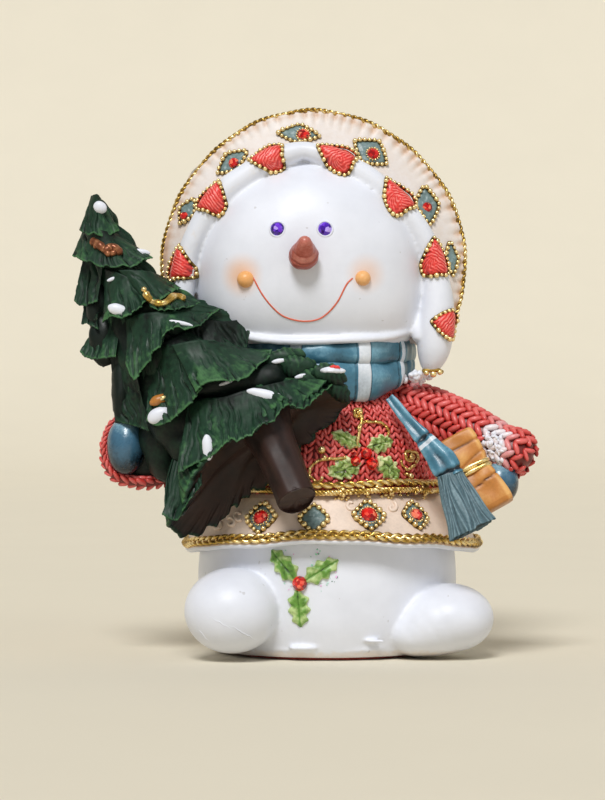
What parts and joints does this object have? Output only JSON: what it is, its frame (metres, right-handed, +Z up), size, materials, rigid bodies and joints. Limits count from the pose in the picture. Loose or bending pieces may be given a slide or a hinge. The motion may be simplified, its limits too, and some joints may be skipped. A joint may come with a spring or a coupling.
{
  "type": "snowman figurine",
  "caption": "Painted resin snowman figurine in a bonnet, scarf and knitted jumper, holding a fir tree and a parcel, standing on a flat felt base.",
  "frame": {"origin": "on the resting surface, below the middle of the bounding box", "axes": "+Z up, the face looks along -Y, +X to the viewer's right"},
  "size_m": [0.1006, 0.072, 0.12],
  "materials": {
    "snow paint": "satin",
    "red felt": "matte",
    "cream paint": "satin",
    "bonnet paint": "satin",
    "red knit paint": "satin",
    "gold paint": "metallic",
    "coral paint": "satin",
    "grey blue paint": "satin",
    "scarf paint": "satin",
    "mitten paint": "satin",
    "carrot paint": "satin",
    "peach paint": "satin",
    "violet stone": "gloss",
    "red stone": "gloss",
    "orange wrapping": "satin",
    "fir paint": "gloss",
    "trunk paint": "gloss",
    "holly paint": "satin"
  },
  "bodies": {
    "root": {"belly_holly": "holly paint", "belt_trim": "gold paint", "bonnet": "bonnet paint", "bonnet_brim": "snow paint", "bonnet_cord": "gold paint", "bonnet_diamond_1": "grey blue paint", "bonnet_diamond_2": "grey blue paint", "bonnet_diamond_3": "grey blue paint", "bonnet_diamond_4": "grey blue paint", "bonnet_diamond_5": "grey blue paint", "bonnet_diamond_6": "grey blue paint", "bonnet_stone_1": "red stone", "bonnet_stone_2": "red stone", "bonnet_stone_3": "red stone", "bonnet_stone_4": "red stone", "bonnet_stone_5": "red stone", "cheek_left": "peach paint", "cheek_right": "peach paint", "chest_holly": "holly paint", "cuff_left": "red knit paint", "cuff_right": "red knit paint", "eye_left": "violet stone", "eye_right": "violet stone", "felt_pad": "red felt", "head": "snow paint", "heart_1": "coral paint", "heart_2": "coral paint", "heart_3": "coral paint", "heart_4": "coral paint", "heart_5": "coral paint", "heart_6": "coral paint", "heart_7": "coral paint", "hem_band": "cream paint", "hem_cord": "gold paint", "hem_diamond_1": "grey blue paint", "hem_diamond_2": "grey blue paint", "hem_diamond_3": "grey blue paint", "hem_diamond_4": "grey blue paint", "hem_stone_1": "red stone", "hem_stone_2": "red stone", "hem_stone_3": "red stone", "jumper": "red knit paint", "mitten_left": "mitten paint", "mitten_right": "mitten paint", "nose": "carrot paint", "parcel": "orange wrapping", "parcel_ribbon": "gold paint", "scarf_strap": "scarf paint", "scarf_tassel": "scarf paint", "scarf_wrap": "scarf paint", "sleeve_left": "red knit paint", "sleeve_right": "red knit paint", "snow_body": "snow paint", "tree": "fir paint", "tree_trunk": "trunk paint"}
  },
  "joints": []
}
